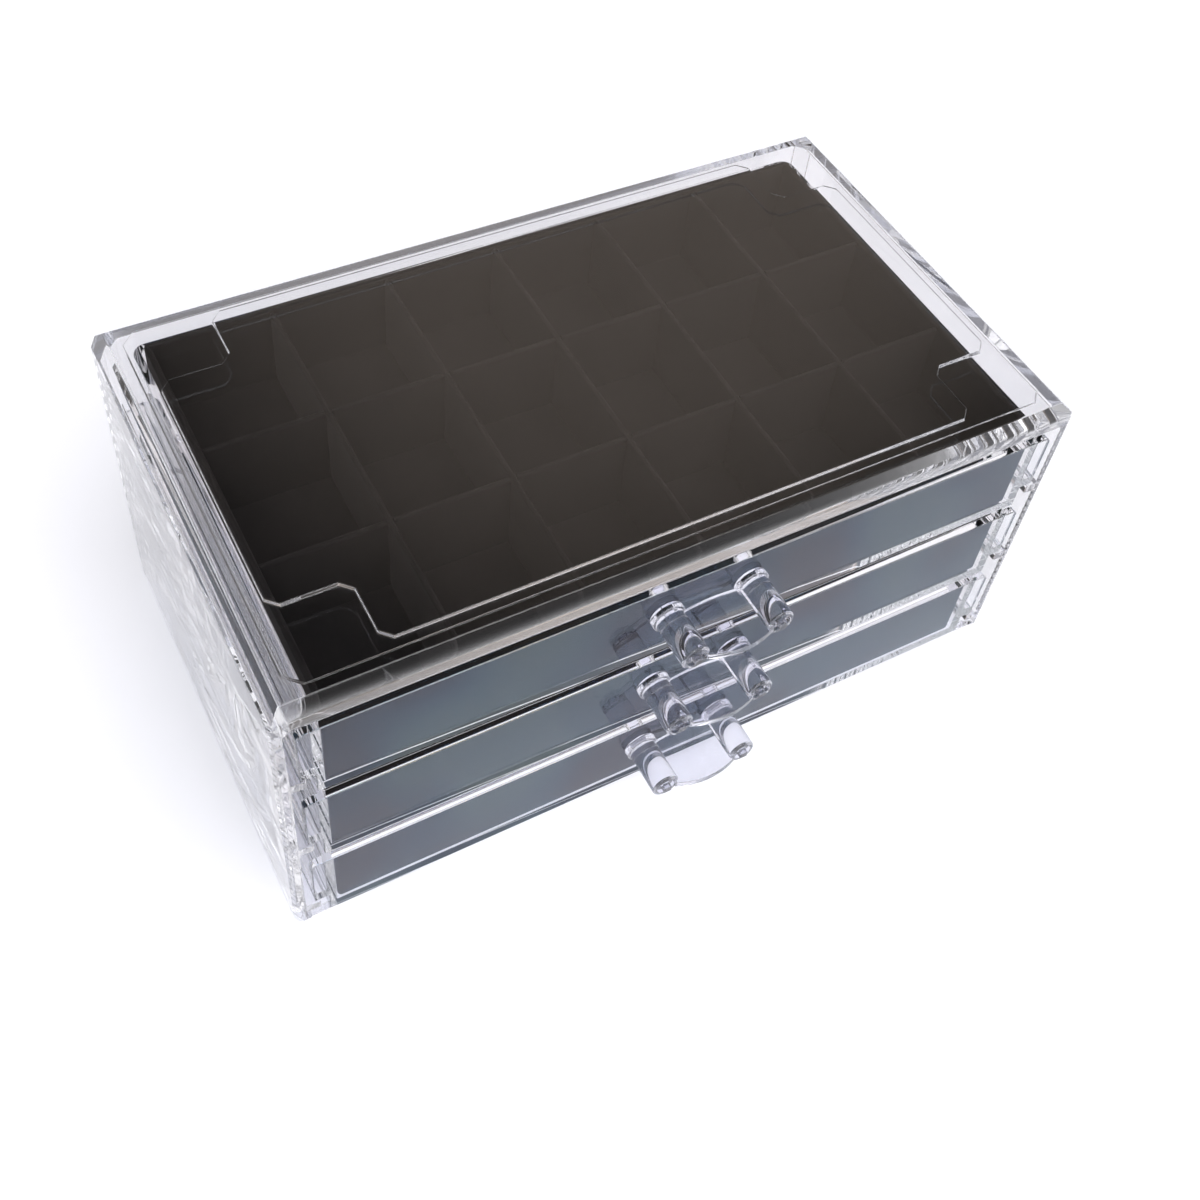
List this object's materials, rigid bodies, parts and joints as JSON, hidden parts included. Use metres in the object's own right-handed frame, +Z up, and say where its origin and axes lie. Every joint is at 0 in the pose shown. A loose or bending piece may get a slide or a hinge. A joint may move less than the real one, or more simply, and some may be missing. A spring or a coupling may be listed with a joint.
{
  "type": "drawer box",
  "caption": "Clear open-fronted case with sliding clear drawers, each with a pull and a divided black velvet tray, for small parts and jewellery.",
  "frame": {"origin": "middle of the case's flat resting face", "axes": "+X along the drawer fronts, +Y from the fronts to the back, +Z up"},
  "size_m": [0.237, 0.155, 0.108],
  "materials": {
    "clear_plastic": "clear and polished",
    "black_velvet": "short black flocked pile"
  },
  "bodies": {
    "case": {"case_shell": "clear_plastic"},
    "lower_drawer": {"lower_drawer_shell": "clear_plastic", "lower_pull": "clear_plastic", "lower_velvet_tray": "black_velvet", "lower_cross_divider_1": "black_velvet", "lower_cross_divider_2": "black_velvet"},
    "middle_drawer": {"middle_drawer_shell": "clear_plastic", "middle_pull": "clear_plastic", "middle_velvet_tray": "black_velvet", "middle_long_divider_1": "black_velvet", "middle_cross_divider_1": "black_velvet", "middle_cross_divider_2": "black_velvet", "middle_cross_divider_3": "black_velvet"},
    "upper_drawer": {"upper_drawer_shell": "clear_plastic", "upper_pull": "clear_plastic", "upper_velvet_tray": "black_velvet", "upper_long_divider_1": "black_velvet", "upper_long_divider_2": "black_velvet", "upper_cross_divider_1": "black_velvet", "upper_cross_divider_2": "black_velvet", "upper_cross_divider_3": "black_velvet", "upper_cross_divider_4": "black_velvet", "upper_cross_divider_5": "black_velvet"}
  },
  "joints": [
    {"name": "upper_drawer_slide", "type": "slide", "parent": "case", "child": "upper_drawer", "axis": [0, -1, 0], "range_m": [0, 0.1]},
    {"name": "middle_drawer_slide", "type": "slide", "parent": "case", "child": "middle_drawer", "axis": [0, -1, 0], "range_m": [0, 0.1]},
    {"name": "lower_drawer_slide", "type": "slide", "parent": "case", "child": "lower_drawer", "axis": [0, -1, 0], "range_m": [0, 0.1]}
  ]
}
